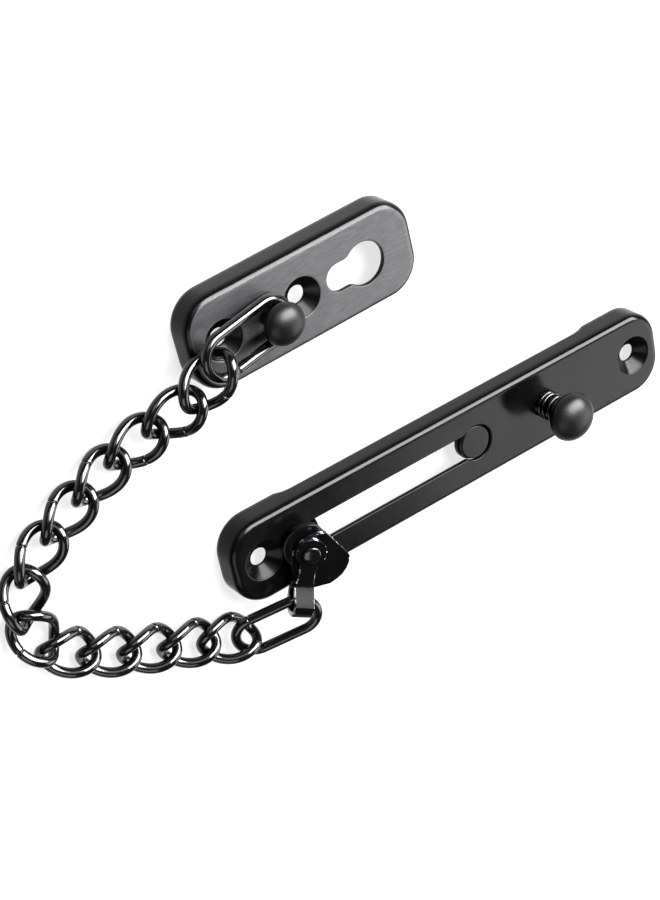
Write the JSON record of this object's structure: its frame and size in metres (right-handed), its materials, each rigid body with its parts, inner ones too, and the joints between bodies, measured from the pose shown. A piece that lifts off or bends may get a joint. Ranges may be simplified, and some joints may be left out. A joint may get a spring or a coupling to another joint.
{
  "type": "door chain guard",
  "caption": "Black steel door chain guard: slotted track plate with sprung latch and slider, twisted-link chain, and keeper plate with a domed post.",
  "frame": {"origin": "middle of the footprint of the whole guard as it lies, on the plane of both plates' back rims", "axes": "+X along the track plate from the slider's end to the latch's end, +Y from the track plate towards the keeper plate, +Z out of the plates' faces"},
  "size_m": [0.1796, 0.0924, 0.0197],
  "materials": {
    "black_coat": "glossy black coating over pressed steel",
    "black_polish": "glossy black plating over steel wire and turned steel",
    "black_brushed": "satin brushed black over pressed steel"
  },
  "bodies": {
    "track": {"track_plate": "black_coat", "latch_spring": "black_polish"},
    "latch": {"latch_knob": "black_polish", "latch_leaf": "black_coat"},
    "slider": {"slider_stud": "black_polish", "slider_collar": "black_polish"},
    "clevis": {"slider_clevis": "black_coat"},
    "end_link": {"end_link": "black_polish"},
    "chain_link_13": {"chain_link_13": "black_polish"},
    "chain_link_12": {"chain_link_12": "black_polish"},
    "chain_link_11": {"chain_link_11": "black_polish"},
    "chain_link_10": {"chain_link_10": "black_polish"},
    "chain_link_09": {"chain_link_09": "black_polish"},
    "chain_link_08": {"chain_link_08": "black_polish"},
    "chain_link_07": {"chain_link_07": "black_polish"},
    "chain_link_06": {"chain_link_06": "black_polish"},
    "chain_link_05": {"chain_link_05": "black_polish"},
    "chain_link_04": {"chain_link_04": "black_polish"},
    "chain_link_03": {"chain_link_03": "black_polish"},
    "chain_link_02": {"chain_link_02": "black_polish"},
    "chain_link_01": {"chain_link_01": "black_polish"},
    "keeper_link": {"keeper_link": "black_polish"},
    "keeper": {"keeper_plate": "black_brushed", "keeper_post": "black_polish"}
  },
  "joints": [
    {"name": "latch_press", "type": "slide", "parent": "track", "child": "latch", "axis": [0, 0, -1], "range_m": [0, 0.003], "stiffness_N_per_m": 350, "springref_m": -0.004, "deforming": ["latch_spring"]},
    {"name": "slider_slide", "type": "slide", "parent": "track", "child": "slider", "axis": [1, 0, 0], "range_m": [0, 0.008]},
    {"name": "clevis_turn", "type": "hinge", "parent": "slider", "child": "clevis", "pos_m": [-0.01868, -0.02256, 0.01054], "axis": [-0.3746, 0, 0.9272], "range_deg": [-2, 80]},
    {"name": "end_link_swing", "type": "hinge", "parent": "clevis", "child": "end_link", "pos_m": [-0.02425, -0.03777, 0.01026], "axis": [-0.4192, -0.1289, 0.8987], "range_deg": [-8, 38]},
    {"name": "link_13_bend", "type": "hinge", "parent": "end_link", "child": "chain_link_13", "pos_m": [-0.03528, -0.04072, 0.00413], "axis": [0, 0, 1], "range_deg": [-14, 9]},
    {"name": "link_12_lift", "type": "hinge", "parent": "chain_link_13", "child": "chain_link_12", "pos_m": [-0.0449, -0.03684, 0.0034], "axis": [0.3907, 0.9205, 0], "range_deg": [0, 20]},
    {"name": "link_11_bend", "type": "hinge", "parent": "chain_link_12", "child": "chain_link_11", "pos_m": [-0.05447, -0.03277, 0.0034], "axis": [0, 0, -1], "range_deg": [-16, 16]},
    {"name": "link_10_lift", "type": "hinge", "parent": "chain_link_11", "child": "chain_link_10", "pos_m": [-0.06397, -0.02855, 0.0034], "axis": [0.4695, 0.8829, 0], "range_deg": [0, 20]},
    {"name": "link_09_bend", "type": "hinge", "parent": "chain_link_10", "child": "chain_link_09", "pos_m": [-0.07316, -0.02366, 0.0034], "axis": [0, 0, 1], "range_deg": [-14, 16]},
    {"name": "link_08_lift", "type": "hinge", "parent": "chain_link_09", "child": "chain_link_08", "pos_m": [-0.08178, -0.01785, 0.0034], "axis": [0.9397, 0.342, 0], "range_deg": [0, 18]},
    {"name": "link_07_bend", "type": "hinge", "parent": "chain_link_08", "child": "chain_link_07", "pos_m": [-0.08534, -0.00807, 0.0034], "axis": [0, 0, -1], "range_deg": [-15, 15]},
    {"name": "link_06_lift", "type": "hinge", "parent": "chain_link_07", "child": "chain_link_06", "pos_m": [-0.08212, 0.00182, 0.0034], "axis": [0.6157, -0.788, 0], "range_deg": [0, 18]},
    {"name": "link_05_bend", "type": "hinge", "parent": "chain_link_06", "child": "chain_link_05", "pos_m": [-0.07393, 0.00822, 0.0034], "axis": [0, 0, 1], "range_deg": [-14, 16]},
    {"name": "link_04_lift", "type": "hinge", "parent": "chain_link_05", "child": "chain_link_04", "pos_m": [-0.06474, 0.0131, 0.0034], "axis": [0.4067, -0.9135, 0], "range_deg": [0, 20]},
    {"name": "link_03_bend", "type": "hinge", "parent": "chain_link_04", "child": "chain_link_03", "pos_m": [-0.05524, 0.01733, 0.0034], "axis": [0, 0, -1], "range_deg": [-16, 16]},
    {"name": "link_02_lift", "type": "hinge", "parent": "chain_link_03", "child": "chain_link_02", "pos_m": [-0.04556, 0.02067, 0.00521], "axis": [0.454, -0.891, 0], "range_deg": [0, 20]},
    {"name": "link_01_bend", "type": "hinge", "parent": "chain_link_02", "child": "chain_link_01", "pos_m": [-0.03716, 0.02495, 0.0096], "axis": [0, 0, 1], "range_deg": [-20, 20]},
    {"name": "keeper_link_bend", "type": "hinge", "parent": "chain_link_01", "child": "keeper_link", "pos_m": [-0.02943, 0.03166, 0.01013], "axis": [0, 0, -1], "range_deg": [-25, 25]},
    {"name": "keeper_turn", "type": "hinge", "parent": "keeper_link", "child": "keeper", "pos_m": [-0.01345, 0.03363, 0.008], "axis": [0, 0, 1], "range_deg": [-45, 45]}
  ]
}
